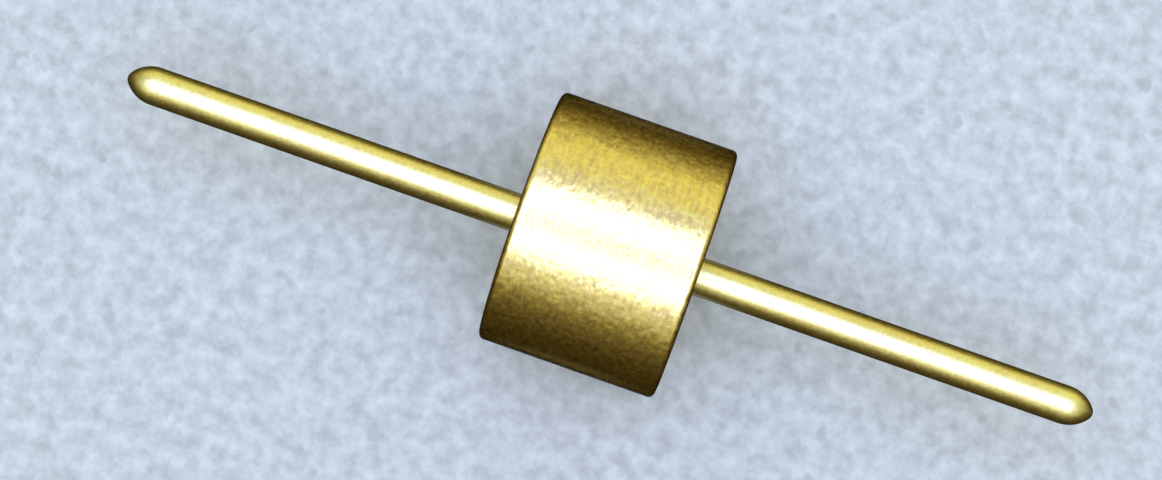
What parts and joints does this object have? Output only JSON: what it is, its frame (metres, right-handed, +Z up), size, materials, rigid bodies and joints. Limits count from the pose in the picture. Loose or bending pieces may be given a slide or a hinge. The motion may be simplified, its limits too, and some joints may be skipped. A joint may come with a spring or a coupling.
{
  "type": "glass feedthrough insulator",
  "caption": "Gold-plated cylindrical metal ferrule with a straight round pin through its centre, held and insulated by a fired glass bead. Carries a signal through a sealed metal wall.",
  "frame": {"origin": "middle of the ferrule, on the pin's axis", "axes": "+X along the pin's axis, +Z up; both ends are alike"},
  "size_m": [0.01, 0.0026, 0.0026],
  "materials": {
    "ferrule_gold": "satin gold plate over an iron-nickel-cobalt sealing alloy",
    "sealing_glass": "fired borosilicate sealing glass, glossy meniscus, pale grey-green",
    "pin_gold": "bright gold plate over an iron-nickel-cobalt sealing alloy"
  },
  "bodies": {
    "root": {"ferrule": "ferrule_gold", "glass_bead": "sealing_glass", "pin": "pin_gold"}
  },
  "joints": []
}
